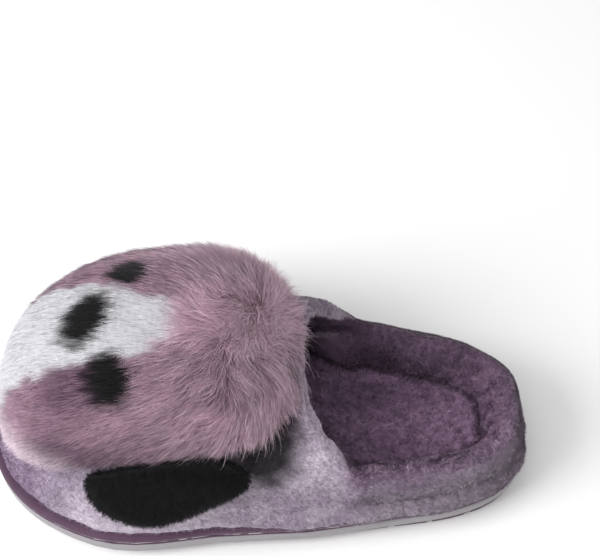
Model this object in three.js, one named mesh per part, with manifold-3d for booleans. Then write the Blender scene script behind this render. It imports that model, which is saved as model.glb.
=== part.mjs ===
// Fluffy house slipper, left foot: a closed-toe mule with a plush animal head on its vamp.
// Millimetres, +Z up, toe towards -Y, heel towards +Y, outer (lateral) side of the foot towards +X.
// The origin is on the ground, under the middle of the slipper.

import * as THREE from 'three';
import { mergeVertices } from 'three/addons/utils/BufferGeometryUtils.js';
import Module from 'manifold-3d';

const wasm = await Module();
wasm.setup();

const { lerp, smoothstep, degToRad } = THREE.MathUtils;

// ---------------------------------------------------------------- driving dimensions

const GAP = 0.3;                    // between pieces that touch on the real slipper
const SLIVER = 0.05;                // detail this small is dropped after a cut
const SOLE_LENGTH = 272;
const PLAN_POWER = { toe: 2.5, heel: 3 };      // roundness of the sole's plan: 2 is an ellipse
const OUTLINE_STEPS = 72;
const BALL = { lateral: 73, medial: 58 };      // half-widths of the sole
const WAIST = { lateral: 60, medial: 59 };
const HEEL = { lateral: 52, medial: 51 };

const OUTSOLE = { bottom: 0, top: 7, toeInset: 5.5, heelInset: 0.9, steps: 56 };
const MIDSOLE = { bottom: 7.3, top: 15.3, inset: 0 };
const RIM = { bottom: 15.6, top: 22.6, outerInset: 0.5, innerInset: 7 };
const STITCH = { z: 17.6, radius: 0.6, grooveDepth: 1.8, slack: 0.9, dip: 0.3, sides: 5, play: 0.25 };
const BOARD = { bottom: 15.6, top: 17.6, inset: 7.5 };
const FOAM = { bottom: 17.9, top: 22.6, inset: 7.5 };
const FOOTBED = { bottom: 23.2, top: 30, inset: 14.5 };

const UPPER_BASE = 22.9;            // where the upper stands on the rim
const UPPER_INSET = 4;              // ledge of the rim outside the upper
const VAMP_SKIN = 1.8;
const VAMP_FOAM = 4;
const SEAM_Y = 47;                  // side seams between vamp and heel band
const VAMP_EDGE = { seamTop: 50, crownY: 20, crownZ: 86, power: 1.8 };
// Height over the upper's base: from the toe's to the instep's between these places.
const VAMP_HEIGHT = { toe: 50, toeY: -120, instepY: 30 };
// The arch is even at the toe; towards the instep its crest drifts inwards, the outer side
// slopes and the inner side stands up. The powers are those of a superellipse.
const VAMP_ARCH = {
  toeY: -100, instepY: 25, drift: -12, toePower: 2.2, lateralPower: 1.65, medialPower: 2.9,
};
const VAMP_STATIONS = { count: 15, arch: 12, first: 0.35, crowding: 1.9, pastSeam: 25 };
const BINDING = { width: 1.8, proud: 0.6, lap: 1, aboveSeamTop: 1.5 };

const COLLAR_SKIN = 1.8;
// Collar roll, from the outer foot of the wall over the crest to the footbed: [inset, height].
const COLLAR_AT_HEEL = [
  [4, 22.9], [3.6, 32], [4.6, 41], [7.5, 47], [11.5, 49], [15, 46], [18.5, 39], [21, 31], [22, 22.9],
];
const COLLAR_AT_SEAM = [
  [4, 22.9], [3.8, 32], [4.8, 42], [7.5, 49], [11.5, 51], [16, 47.5], [19.5, 40], [22, 31], [23, 22.9],
];
const COLLAR_BLEND = 35;            // length over which the seam profile turns into the heel's
const COLLAR_STEPS = { profile: 12, crest: 5, round: 26, overrun: 5 };

const HEAD = {
  y: -38, z: 25, below: 20, front: 89, rear: 67, top: 94, lateral: 59, medial: 62, power: 2.4,
};
const HEAD_CENTRE_X = { toe: 0, toeY: -125, instep: -7, instepY: -40 };
const FUR_THICKNESS = 5;
// The head's sewn border climbs towards the instep, and from the middle to both sides.
const HEAD_BORDER = { y: -122, z: 45, rise: 0.24, spread: 0.45, bend: 30 };

const EAR = { pile: 1.8, backing: 1.4, split: 0.2 };
const EAR_HINGES = {
  lateral: { at: [51, -48, 75.5], heading: [-0.1, 0.965, 0.24], lean: 22 },
  medial: { at: [-68, -46, 68], heading: [0.1, 0.965, 0.24], lean: 14 },
};
const EAR_ROOT = { length: 46, height: 6, depth: 14, clearance: 0.5 };

// ---------------------------------------------------------------- materials

function material(color, roughness = 0.95) {
  return new THREE.MeshStandardMaterial({ color, roughness, metalness: 0 });
}

const velour = material(0x84727f);
const plush = material(0x6b546b);
const furCloth = material(0x7d6776);
const blackPlush = material(0x17171a);
const darkFoam = material(0x4a3a4a, 0.6);
const whiteFoam = material(0xd9d7d8, 0.6);
const innerFoam = material(0xd8d2c0);
const board = material(0xa89880);
const threadMaterial = material(0xb9aab8, 0.7);

const slipper = new THREE.Group();

function add(name, geometry, surface, parent = slipper) {
  const mesh = new THREE.Mesh(geometry, surface);
  mesh.name = name;
  parent.add(mesh);
  return mesh;
}

// ---------------------------------------------------------------- plan of the sole

// Half-width on one side; along runs from 0 at the toe tip to 1 at the back of the heel.
function sideWidth(side, along) {
  const forepart = lerp(BALL[side], WAIST[side], smoothstep(along, 0.2, 0.5));
  return lerp(forepart, HEEL[side], smoothstep(along, 0.5, 0.8));
}

// Share of the half-width that is left where the plan rounds off; nearness is 1 at the very tip.
function rounding(nearness, power) {
  return (1 - nearness ** power) ** (1 / power);
}

// Point of the plan at an angle: 0 is the toe tip, a quarter turn is the lateral side.
function planPoint(angle) {
  const c = Math.cos(angle);
  const s = Math.sin(angle);
  const power = 2 / (c > 0 ? PLAN_POWER.toe : PLAN_POWER.heel);
  const y = -Math.sign(c) * Math.abs(c) ** power * SOLE_LENGTH / 2;
  const side = s >= 0 ? 'lateral' : 'medial';
  const x = Math.sign(s) * Math.abs(s) ** power * sideWidth(side, y / SOLE_LENGTH + 0.5);
  return new THREE.Vector2(x, y);
}

// The same point moved inwards, square to the plan.
function insetPoint(angle, inset) {
  const step = 0.01;
  const run = planPoint(angle + step).sub(planPoint(angle - step)).normalize();
  return planPoint(angle).add(new THREE.Vector2(-run.y, run.x).multiplyScalar(inset));
}

function plan(inset, steps = OUTLINE_STEPS) {
  return Array.from({ length: steps }, (_, i) => insetPoint(2 * Math.PI * i / steps, inset));
}

// Angle of the plan at which one side passes a given y.
function angleAtY(side, y) {
  const c = -y / (SOLE_LENGTH / 2);
  const power = c > 0 ? PLAN_POWER.toe : PLAN_POWER.heel;
  const angle = Math.acos(Math.sign(c) * Math.abs(c) ** (power / 2));
  return side === 'lateral' ? angle : 2 * Math.PI - angle;
}

// ---------------------------------------------------------------- geometry helpers

function slab(outline, bottom, top, bevel = 0) {
  const geometry = new THREE.ExtrudeGeometry(new THREE.Shape(outline), {
    depth: top - bottom - 2 * bevel,
    bevelEnabled: bevel > 0,
    bevelThickness: bevel,
    bevelSize: bevel,
    bevelOffset: -bevel,
    bevelSegments: 2,
  });
  return geometry.translate(0, 0, bottom + bevel);
}

// Closed body through a row of rings with equal numbers of points. Open rows get flat ends.
function loft(rings, closed = false) {
  const count = rings[0].length;
  const points = rings.flat();
  const faces = [];
  const spans = closed ? rings.length : rings.length - 1;
  for (let i = 0; i < spans; i += 1) {
    const here = i * count;
    const next = ((i + 1) % rings.length) * count;
    for (let j = 0; j < count; j += 1) {
      const k = (j + 1) % count;
      faces.push(here + j, here + k, next + k, here + j, next + k, next + j);
    }
  }
  if (!closed) {
    const last = (rings.length - 1) * count;
    for (const [a, b, c] of endFaces(rings[0])) faces.push(a, c, b);
    for (const [a, b, c] of endFaces(rings.at(-1))) faces.push(last + a, last + b, last + c);
  }
  const geometry = new THREE.BufferGeometry().setFromPoints(points);
  geometry.setIndex(faces);
  return facingOut(geometry);
}

// Triangles over a ring that is flat or nearly so, found in the plane it covers most of.
function endFaces(ring) {
  const normal = new THREE.Vector3();
  ring.forEach((p, i) => normal.add(p.clone().cross(ring[(i + 1) % ring.length])));
  const u = new THREE.Vector3(1, 0, 0);
  if (Math.abs(normal.x) > Math.max(Math.abs(normal.y), Math.abs(normal.z))) u.set(0, 1, 0);
  const v = normal.clone().cross(u).normalize();
  u.copy(v).cross(normal).normalize();
  return THREE.ShapeUtils.triangulateShape(ring.map((p) => new THREE.Vector2(p.dot(u), p.dot(v))), []);
}

function signedVolume(geometry) {
  const p = geometry.getAttribute('position');
  const index = geometry.getIndex();
  const corner = (i) => new THREE.Vector3().fromBufferAttribute(p, index.getX(i));
  let volume = 0;
  for (let i = 0; i < index.count; i += 3) volume += corner(i).dot(corner(i + 1).cross(corner(i + 2))) / 6;
  return volume;
}

function facingOut(geometry) {
  if (signedVolume(geometry) > 0) return geometry;
  const index = geometry.getIndex();
  for (let i = 0; i < index.count; i += 3) {
    const second = index.getX(i + 1);
    index.setX(i + 1, index.getX(i + 2));
    index.setX(i + 2, second);
  }
  return geometry;
}

// three.js geometry to manifold solid and back.
function solid(geometry) {
  const bare = geometry.clone();
  bare.deleteAttribute('normal');
  bare.deleteAttribute('uv');
  const merged = mergeVertices(bare, 1e-4);
  const index = Array.from(merged.getIndex().array);
  const triVerts = [];
  for (let i = 0; i < index.length; i += 3) {
    const [a, b, c] = index.slice(i, i + 3);
    if (a !== b && b !== c && c !== a) triVerts.push(a, b, c);
  }
  return new wasm.Manifold(new wasm.Mesh({
    numProp: 3,
    vertProperties: new Float32Array(merged.getAttribute('position').array),
    triVerts: new Uint32Array(triVerts),
  }));
}

// The largest body of a solid, without the slivers that cuts between curved skins leave.
function body(manifold) {
  const parts = manifold.simplify(SLIVER).decompose().sort((a, b) => b.volume() - a.volume());
  const mesh = parts[0].getMesh();
  const geometry = new THREE.BufferGeometry();
  geometry.setAttribute('position', new THREE.BufferAttribute(mesh.vertProperties, 3));
  geometry.setIndex(new THREE.BufferAttribute(mesh.triVerts, 1));
  return geometry;
}

// ---------------------------------------------------------------- sole unit

function outsole() {
  const groove = { count: 12, pitch: 20, width: 3.2, depth: 2, wave: 4, reach: 80, steps: 8 };
  const ring = Array.from({ length: OUTSOLE.steps }, (_, i) => {
    const angle = 2 * Math.PI * i / OUTSOLE.steps;
    return insetPoint(angle, lerp(OUTSOLE.heelInset, OUTSOLE.toeInset, (1 + Math.cos(angle)) / 2));
  });
  let tread = solid(slab(ring, OUTSOLE.bottom, OUTSOLE.top));
  for (let i = 0; i < groove.count; i += 1) {
    const middle = (i - (groove.count - 1) / 2) * groove.pitch;
    const edge = (side) => Array.from({ length: groove.steps + 1 }, (_, k) => {
      const x = lerp(-groove.reach, groove.reach, k / groove.steps);
      return new THREE.Vector2(x, middle + (k % 2 ? 1 : -1) * groove.wave / 2 + side * groove.width / 2);
    });
    const outline = [...edge(-1), ...edge(1).reverse()];
    tread = tread.subtract(solid(slab(outline, OUTSOLE.bottom - 1, OUTSOLE.bottom + groove.depth)));
  }
  return body(tread);
}

// A profile of [inset, height] points carried once round the plan.
function roundTheSole(profile, steps = OUTLINE_STEPS) {
  const rings = Array.from({ length: steps }, (_, i) => profile.map(([inset, z]) => {
    const p = insetPoint(2 * Math.PI * i / steps, inset);
    return new THREE.Vector3(p.x, p.y, z);
  }));
  return loft(rings, true);
}

function rim() {
  const { bottom, top, outerInset: outer, innerInset: inner } = RIM;
  const floor = outer + STITCH.grooveDepth;
  const halfGroove = STITCH.radius + STITCH.play;
  const grooveLow = STITCH.z - halfGroove;
  const grooveHigh = STITCH.z + halfGroove;
  return roundTheSole([
    [outer, bottom], [outer, grooveLow], [floor, grooveLow], [floor, grooveHigh], [outer, grooveHigh],
    [outer, top - 1], [outer + 1, top], [inner, top], [inner, bottom],
  ]);
}

// The lockstitch reads as one thread that lies in the groove and dips at each needle hole.
function stitchThread() {
  const radius = STITCH.radius * STITCH.slack;
  const rings = Array.from({ length: OUTLINE_STEPS }, (_, i) => {
    const depth = RIM.outerInset + STITCH.radius + (i % 2 ? STITCH.dip : 0);
    const p = insetPoint(2 * Math.PI * i / OUTLINE_STEPS, depth);
    const q = insetPoint(2 * Math.PI * i / OUTLINE_STEPS, depth + 1).sub(p);
    return Array.from({ length: STITCH.sides }, (_unused, k) => {
      const turn = 2 * Math.PI * k / STITCH.sides;
      const inward = Math.cos(turn) * radius;
      const up = Math.sin(turn) * radius;
      return new THREE.Vector3(p.x + q.x * inward, p.y + q.y * inward, STITCH.z + up);
    });
  });
  return loft(rings, true);
}

// ---------------------------------------------------------------- heel band and collar

function collarProfile(blend, offset) {
  const points = COLLAR_AT_SEAM.map(([inset, z], i) => new THREE.Vector2(
    lerp(inset, COLLAR_AT_HEEL[i][0], blend),
    lerp(z, COLLAR_AT_HEEL[i][1], blend),
  ));
  const last = COLLAR_STEPS.profile;
  const smooth = new THREE.SplineCurve(points).getPoints(last);
  return smooth.map((p, i) => {
    const run = smooth[Math.min(i + 1, last)].clone().sub(smooth[Math.max(i - 1, 0)]).normalize();
    const moved = p.clone().add(new THREE.Vector2(run.y, -run.x).multiplyScalar(offset));
    moved.y = Math.max(moved.y, UPPER_BASE);
    return moved;
  });
}

// Section through one layer of the collar: the outer cloth, or the lining that takes over at the crest.
function collarStrip(kind, blend) {
  const { crest, profile } = COLLAR_STEPS;
  const [from, to] = kind === 'outer' ? [0, crest] : [crest, profile];
  const outer = collarProfile(blend, 0).slice(from, to + 1);
  const inner = collarProfile(blend, COLLAR_SKIN).slice(from, to + 1);
  if (kind === 'lining') {
    outer[0].lerp(outer[1], GAP / outer[0].distanceTo(outer[1]));
    inner[0].lerp(inner[1], GAP / inner[0].distanceTo(inner[1]));
  }
  return [...outer, ...inner.reverse()];
}

// Carries a section round the heel, from just ahead of one side seam to just ahead of the other.
function roundTheHeel(section) {
  const { round, overrun } = COLLAR_STEPS;
  const start = angleAtY('lateral', SEAM_Y - overrun);
  const end = angleAtY('medial', SEAM_Y - overrun);
  const rings = Array.from({ length: round + 1 }, (_, i) => {
    const angle = lerp(start, end, i / round);
    const blend = smoothstep(planPoint(angle).y - SEAM_Y, 0, COLLAR_BLEND);
    return section(blend).map((s) => {
      const p = insetPoint(angle, s.x);
      return new THREE.Vector3(p.x, p.y, s.y);
    });
  });
  return solid(loft(rings));
}

function heelRoll(depth) {
  return roundTheHeel((blend) => collarProfile(blend, depth));
}

function box(low, high) {
  const size = high.map((v, i) => v - low[i]);
  const middle = high.map((v, i) => (v + low[i]) / 2);
  return solid(new THREE.BoxGeometry(...size).translate(...middle));
}

function behindSeams(part) {
  const aheadOfSeams = box([-100, -100, 0], [100, SEAM_Y + GAP, 100]);
  return body(part.subtract(aheadOfSeams));
}

// ---------------------------------------------------------------- vamp

// Loaf under the vamp's surface, shrunk by a depth, from the toe to past the side seams.
function vampLoaf(depth) {
  const { count, arch, first, crowding, pastSeam } = VAMP_STATIONS;
  const { toePower, lateralPower, medialPower } = VAMP_ARCH;
  const back = SEAM_Y + pastSeam;
  const front = -SOLE_LENGTH / 2 + UPPER_INSET + depth;
  const rings = Array.from({ length: count }, (_, i) => {
    const t = (i + first) / (count - 1 + first);
    const y = lerp(front, back, t ** crowding);
    const along = y / SOLE_LENGTH + 0.5;
    const toeCap = rounding(Math.max(0, y / front), PLAN_POWER.toe);
    const cap = toeCap * rounding(Math.max(0, 2 * y / SOLE_LENGTH), PLAN_POWER.heel);
    const instep = smoothstep(y, VAMP_ARCH.toeY, VAMP_ARCH.instepY);
    const peakX = lerp(0, VAMP_ARCH.drift, instep);
    const rise = smoothstep(y, VAMP_HEIGHT.toeY, VAMP_HEIGHT.instepY);
    const height = lerp(VAMP_HEIGHT.toe, VAMP_EDGE.crownZ - UPPER_BASE, rise) * toeCap - depth;
    const lateral = sideWidth('lateral', along) * cap - UPPER_INSET - depth;
    const medial = sideWidth('medial', along) * cap - UPPER_INSET - depth;
    return Array.from({ length: arch + 1 }, (_unused, j) => {
      const turn = Math.PI * j / arch;
      const onLateral = j <= arch / 2;
      const power = 2 / lerp(toePower, onLateral ? lateralPower : medialPower, instep);
      const reachX = onLateral ? lateral - peakX : medial + peakX;
      const x = peakX + Math.sign(Math.cos(turn)) * Math.abs(Math.cos(turn)) ** power * reachX;
      const z = UPPER_BASE + Math.abs(Math.sin(turn)) ** power * Math.max(height, 0.5);
      return new THREE.Vector3(x, y, z);
    });
  });
  return solid(loft(rings));
}

// Block behind the vamp's opening edge, moved towards the heel by a shift.
function behindOpening(shift) {
  const { seamTop, crownY, crownZ, power } = VAMP_EDGE;
  const edge = Array.from({ length: 9 }, (_, i) => {
    const z = lerp(seamTop, crownZ, i / 8);
    const y = crownY + (SEAM_Y - crownY) * ((crownZ - z) / (crownZ - seamTop)) ** power;
    return new THREE.Vector2(y + shift, z);
  });
  const far = 150;
  const outline = [
    new THREE.Vector2(far, 0), new THREE.Vector2(far, far), new THREE.Vector2(crownY + shift, far),
    ...edge.reverse(), new THREE.Vector2(SEAM_Y + shift, 0),
  ];
  const block = slab(outline, -far, far);
  return solid(block.rotateX(Math.PI / 2).rotateZ(Math.PI / 2));
}

const opening = behindOpening(0);

function vampLayer(fromDepth, toDepth) {
  return vampLoaf(fromDepth).subtract(vampLoaf(toDepth)).subtract(opening);
}

function binding() {
  const outside = vampLoaf(-BINDING.proud);
  const inside = vampLoaf(2 * VAMP_SKIN + VAMP_FOAM + BINDING.lap);
  const low = solid(slab(plan(-20), 0, VAMP_EDGE.seamTop + BINDING.aboveSeamTop));
  const strip = outside.subtract(inside).subtract(low);
  return strip.intersect(behindOpening(GAP)).subtract(behindOpening(GAP + BINDING.width));
}

// Tape over a side seam: it hugs the outside of the vamp and of the heel band next to it.
function seamTape(side) {
  const tape = { near: 0.35, far: 1.15, halfWidth: 3, low: 24, high: 47, fromX: 20, toX: 80 };
  const skin = (depth) => vampLoaf(depth).add(heelRoll(depth));
  const edges = side === 'lateral' ? [tape.fromX, tape.toX] : [-tape.toX, -tape.fromX];
  const low = [edges[0], SEAM_Y - tape.halfWidth, tape.low];
  const high = [edges[1], SEAM_Y + tape.halfWidth, tape.high];
  return body(skin(-tape.far).subtract(skin(-tape.near)).intersect(box(low, high)));
}

// ---------------------------------------------------------------- plush head

// Domed head shrunk by a depth: a sphere with squarer shoulders, longer to the front than to the rear.
function headDome(depth) {
  const geometry = new THREE.SphereGeometry(1, 28, 16).rotateX(Math.PI / 2);
  const p = geometry.getAttribute('position');
  const square = (v) => Math.sign(v) * Math.abs(v) ** (2 / HEAD.power);
  for (let i = 0; i < p.count; i += 1) {
    const [u, v, w] = [square(p.getX(i)), square(p.getY(i)), square(p.getZ(i))];
    const y = HEAD.y + v * ((v < 0 ? HEAD.front : HEAD.rear) - depth);
    const { toe, toeY, instep, instepY } = HEAD_CENTRE_X;
    const centre = lerp(toe, instep, smoothstep(y, toeY, instepY));
    const x = centre + u * ((u > 0 ? HEAD.lateral : HEAD.medial) - depth);
    const z = HEAD.z + w * ((w > 0 ? HEAD.top : HEAD.below) - depth);
    p.setXYZ(i, x, y, z);
  }
  return solid(geometry);
}

// Everything below the head's sewn border.
function belowBorder() {
  const { y, z, rise, spread, bend } = HEAD_BORDER;
  const reach = 120;
  const steps = 16;
  const edge = Array.from({ length: steps + 1 }, (_, i) => {
    const x = lerp(-reach, reach, i / steps);
    return new THREE.Vector2(x, spread * (Math.hypot(x, bend) - bend));
  });
  const outline = [new THREE.Vector2(-reach, -reach), new THREE.Vector2(reach, -reach), ...edge.reverse()];
  const block = slab(outline, -2 * reach, 2 * reach);
  return solid(block.rotateX(Math.PI / 2 + Math.atan(rise)).translate(0, y, z));
}

// ---------------------------------------------------------------- ears

// Outline of an ear in its own plane: first number along the sewn edge, second one down from it.
const EAR_OUTLINE = [
  [-26, 0], [22, 0], [38, 6], [45, 15], [42, 23], [28, 31],
  [10, 37], [-4, 39], [-16, 37], [-26, 29], [-31, 17], [-30, 5],
];

function earShape(flip) {
  const corners = EAR_OUTLINE.map(([along, down]) => new THREE.Vector3(along * flip, -down - 0.01, 0));
  const curve = new THREE.CatmullRomCurve3(corners, true, 'centripetal');
  return curve.getPoints(32).slice(1).map((p) => new THREE.Vector2(p.x, Math.min(p.y, 0)));
}

// Axes of an ear: along its sewn edge, up its face, and straight out of its outer face.
function earAxes(side) {
  const { heading, lean } = EAR_HINGES[side];
  const sign = side === 'lateral' ? 1 : -1;
  const along = new THREE.Vector3(...heading).normalize();
  const level = new THREE.Vector3(0, 0, 1).cross(along).multiplyScalar(-sign).normalize();
  const up = along.clone().cross(level).multiplyScalar(-sign).normalize();
  up.applyAxisAngle(along, sign * -degToRad(lean));
  const out = up.clone().cross(along).multiplyScalar(-sign).normalize();
  return { along: along.multiplyScalar(sign), up, out };
}

function ear(side) {
  const { along, up, out } = earAxes(side);
  const group = new THREE.Group();
  group.position.set(...EAR_HINGES[side].at);
  group.quaternion.setFromRotationMatrix(new THREE.Matrix4().makeBasis(along, up, out));
  const outline = earShape(side === 'lateral' ? 1 : -1);
  add(`ear_${side}_pile`, slab(outline, -EAR.pile, 0), blackPlush, group);
  const backTop = -EAR.pile - EAR.split;
  add(`ear_${side}_backing`, slab(outline, backTop - EAR.backing, backTop), blackPlush, group);
  slipper.add(group);
}

// Seam allowance that holds an ear, let into the head above the ear's sewn edge.
function earRoot(side) {
  const { along, up, out } = earAxes(side);
  const block = new THREE.BoxGeometry(EAR_ROOT.length, EAR_ROOT.height, EAR_ROOT.depth);
  block.translate(0, EAR_ROOT.height / 2 + EAR_ROOT.clearance, -EAR_ROOT.depth / 2);
  block.applyMatrix4(new THREE.Matrix4().makeBasis(along, up, out));
  block.translate(...EAR_HINGES[side].at);
  return solid(block);
}

// ---------------------------------------------------------------- assembly

add('outsole_tread', outsole(), darkFoam);
add('midsole_band', slab(plan(MIDSOLE.inset), MIDSOLE.bottom, MIDSOLE.top, 1), whiteFoam);
add('sole_rim', rim(), darkFoam);
add('sole_stitch', stitchThread(), threadMaterial);
add('insole_board', slab(plan(BOARD.inset), BOARD.bottom, BOARD.top), board);
add('footbed_foam', slab(plan(FOAM.inset), FOAM.bottom, FOAM.top), innerFoam);

add('heel_band_outer', behindSeams(roundTheHeel((blend) => collarStrip('outer', blend))), velour);
add('heel_band_foam', behindSeams(heelRoll(COLLAR_SKIN + GAP)), innerFoam);
add('heel_band_lining', behindSeams(roundTheHeel((blend) => collarStrip('lining', blend))), plush);

const vampDepths = {
  outer: [0, VAMP_SKIN],
  foam: [VAMP_SKIN + GAP, VAMP_SKIN + VAMP_FOAM],
  lining: [VAMP_SKIN + VAMP_FOAM + GAP, 2 * VAMP_SKIN + VAMP_FOAM],
};
add('vamp_outer', body(vampLayer(...vampDepths.outer)), velour);
add('vamp_foam', body(vampLayer(...vampDepths.foam)), innerFoam);
add('vamp_lining', body(vampLayer(...vampDepths.lining)), plush);
add('vamp_edge_binding', body(binding()), velour);
add('side_seam_tape_lateral', seamTape('lateral'), velour);
add('side_seam_tape_medial', seamTape('medial'), velour);

const vampWall = vampLayer(0, 2 * VAMP_SKIN + VAMP_FOAM + GAP);
const footbed = solid(slab(plan(FOOTBED.inset, 48), FOOTBED.bottom, FOOTBED.top, 1.5));
add('footbed_cover', body(footbed.subtract(vampWall).subtract(heelRoll(-GAP))), plush);

const vampEnvelope = vampLoaf(-GAP);
const head = headDome(0).subtract(vampEnvelope).subtract(belowBorder());
const furInside = headDome(FUR_THICKNESS);
const furPanel = head.subtract(furInside);
const stuffing = head.intersect(headDome(FUR_THICKNESS + GAP));
add('head_fur_panel', body(furPanel), furCloth);
add('head_stuffing', body(stuffing), innerFoam);

for (const side of ['lateral', 'medial']) {
  ear(side);
  add(`ear_${side}_root`, body(earRoot(side).subtract(headDome(-GAP)).subtract(vampEnvelope)), blackPlush);
}

export default slipper;
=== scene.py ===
"""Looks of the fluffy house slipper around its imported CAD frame. Metres, +Z up, toe towards -Y."""

import math

import bpy
import numpy as np
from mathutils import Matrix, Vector
from mathutils.bvhtree import BVHTree
from mathutils.kdtree import KDTree


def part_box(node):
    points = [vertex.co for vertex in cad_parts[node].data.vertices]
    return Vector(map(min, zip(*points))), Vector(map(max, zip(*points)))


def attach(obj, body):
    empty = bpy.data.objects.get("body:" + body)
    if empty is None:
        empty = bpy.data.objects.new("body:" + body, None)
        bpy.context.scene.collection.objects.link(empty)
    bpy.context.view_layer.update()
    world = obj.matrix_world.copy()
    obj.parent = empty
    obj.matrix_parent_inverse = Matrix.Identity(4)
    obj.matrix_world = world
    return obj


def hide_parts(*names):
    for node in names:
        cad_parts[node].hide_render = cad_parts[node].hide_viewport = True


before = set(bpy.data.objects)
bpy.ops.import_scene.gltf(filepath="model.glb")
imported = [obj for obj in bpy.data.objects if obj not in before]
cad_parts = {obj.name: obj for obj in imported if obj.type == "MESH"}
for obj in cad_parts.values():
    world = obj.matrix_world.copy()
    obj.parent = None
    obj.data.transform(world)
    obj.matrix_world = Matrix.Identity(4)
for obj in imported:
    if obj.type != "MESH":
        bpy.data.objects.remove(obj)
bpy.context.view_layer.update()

MM = 0.001
WELD = 0.01 * MM
SWELL_FRAMES = 20
UP = np.array([0.0, 0.0, 1.0])
TOEWARD = np.array([0.0, -1.0, 0.0])

# Head pile: length in millimetres at the toe, what the rear has more, and where its three regions end.
FUR_COUNT = 72000
FUR_SEGMENTS = 5
FUR_LENGTH = 8.5
FUR_LENGTH_GAIN = 7.5
MUZZLE_END = 0.38
BROW_END = 0.70

# Upper: bulge and drop of its cloth over the rim, most at the heel, and the bulge's share left at the toe.
RIM_BULGE = 4.6 * MM
RIM_DROP = 6 * MM
RIM_REACH = 0.35
LEAD_IN = {"length": 38 * MM, "width": 15 * MM, "height": 20 * MM, "rings": 9, "arc": 7}

# Studio.
FLOOR_REACH = 4.0
WORLD_STRENGTH = 0.5
LIGHT_AIM = (0, -0.02, 0.05)
CAMERA = {"place": (0.2367, 0.0289, 0.5466), "aim": (-0.0871, 0.0187, 0.020), "lens": 66.5, "sensor": 36}


# ---------------------------------------------------------------- numbers and fields

def box(node):
    low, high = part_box(node)
    return np.array(low), np.array(high)


def linear(red, green, blue):
    """Linear colour of an 8-bit display colour."""
    c = np.array([red, green, blue]) / 255
    return np.where(c <= 0.04045, c / 12.92, ((c + 0.055) / 1.055) ** 2.4)


def ramp(value, low, high):
    t = np.clip((value - low) / (high - low), 0, 1)
    return t * t * (3 - 2 * t)


def unit(vectors):
    return vectors / np.maximum(np.linalg.norm(vectors, axis=-1, keepdims=True), 1e-12)


def dot(a, b):
    return np.sum(a * b, axis=-1)


def waves(points, size, seed, count=7):
    """Smooth random field with features of about that size, mostly between -1 and 1."""
    rng = np.random.default_rng(seed)
    total = np.zeros(len(points))
    for _ in range(count):
        way = unit(rng.normal(size=3)) * 2 * math.pi / (size * rng.uniform(0.7, 1.8))
        total += np.sin(points @ way + rng.uniform(0, 2 * math.pi))
    return total / math.sqrt(count)


def brightness(colours):
    return dot(colours, np.ones(3) / 3)


def share_of(values, low, high, axis):
    """Where points lie between two corners of a box along one axis, from 0 to 1."""
    return (values[:, axis] - low[axis]) / (high - low)[axis]


def tangent(vectors, normals):
    return vectors - normals * dot(vectors, normals)[:, None]


# ---------------------------------------------------------------- meshes

def arrays(obj):
    """Vertex places, vertex normals and triangles of a mesh object."""
    mesh = obj.data
    count = len(mesh.vertices)
    places = np.empty(count * 3)
    normals = np.empty(count * 3)
    mesh.vertices.foreach_get("co", places)
    mesh.vertices.foreach_get("normal", normals)
    mesh.calc_loop_triangles()
    triangles = np.empty(len(mesh.loop_triangles) * 3, np.int32)
    mesh.loop_triangles.foreach_get("vertices", triangles)
    return places.reshape(-1, 3), normals.reshape(-1, 3), triangles.reshape(-1, 3)


def move(obj, places):
    obj.data.vertices.foreach_set("co", np.ascontiguousarray(places, np.float32).ravel())
    obj.data.update()


def paint(obj, name, colours):
    """Stores one linear colour per vertex."""
    rgba = np.ones((len(obj.data.vertices), 4), np.float32)
    rgba[:, :3] = colours
    layer = obj.data.color_attributes.new(name, "FLOAT_COLOR", "POINT")
    layer.data.foreach_set("color", rgba.ravel())


def link(name, mesh):
    obj = bpy.data.objects.new(name, mesh)
    bpy.context.scene.collection.objects.link(obj)
    return obj


def evaluated(obj):
    """Replaces an object's mesh by what its modifiers make of it."""
    bpy.context.view_layer.update()
    made = bpy.data.meshes.new_from_object(obj.evaluated_get(bpy.context.evaluated_depsgraph_get()))
    obj.modifiers.clear()
    old = obj.data
    obj.data = made
    bpy.data.meshes.remove(old)


def largest_island(obj):
    """Drops closed pockets that a remesh leaves inside."""
    count = len(obj.data.vertices)
    label = np.arange(count)
    edges = np.empty(len(obj.data.edges) * 2, np.int32)
    obj.data.edges.foreach_get("vertices", edges)
    a, b = edges.reshape(-1, 2).T
    while True:
        low = np.minimum(label[a], label[b])
        new = label.copy()
        np.minimum.at(new, a, low)
        np.minimum.at(new, b, low)
        new = new[new]
        if np.array_equal(new, label):
            break
        label = new
    names, sizes = np.unique(label, return_counts=True)
    keep = label == names[sizes.argmax()]
    if keep.all():
        return
    places, _, triangles = arrays(obj)
    renumber = np.cumsum(keep) - 1
    kept = renumber[triangles[keep[triangles[:, 0]]]]
    mesh = bpy.data.meshes.new(obj.name)
    mesh.from_pydata(places[keep].tolist(), [], kept.tolist())
    obj.data = mesh


def gathered(sources):
    """Vertices and faces of several (vertices, faces) pairs in one list each."""
    places, faces = [], []
    for own, polygons in sources:
        faces += [[i + len(places) for i in polygon] for polygon in polygons]
        places += list(own)
    return places, faces


def tree_of(*objects):
    """Search tree over the faces of some objects."""
    return BVHTree.FromPolygons(*gathered((x[0].tolist(), x[2].tolist()) for x in map(arrays, objects)))


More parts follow.
